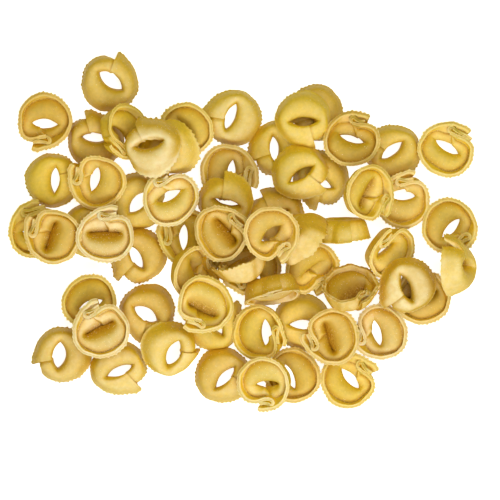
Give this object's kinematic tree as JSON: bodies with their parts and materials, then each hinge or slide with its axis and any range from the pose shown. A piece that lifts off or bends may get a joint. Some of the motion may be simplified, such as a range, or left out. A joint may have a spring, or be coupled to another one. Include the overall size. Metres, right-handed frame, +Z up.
{
  "type": "heap of tortellini",
  "caption": "Loose heap of raw tortellini on a surface: small filled pasta rings with a full belly, a crimped upright brim and two lapped ends, lying open side up, back up and on edge.",
  "frame": {"origin": "bottom centre of the heap's box, on the surface it lies on", "axes": "+X along the heap's longer side, +Z up"},
  "size_m": [0.2558, 0.194, 0.0515],
  "materials": {
    "egg_dough": "matte"
  },
  "bodies": {
    "root": {"tortellini": "egg_dough"}
  },
  "joints": []
}
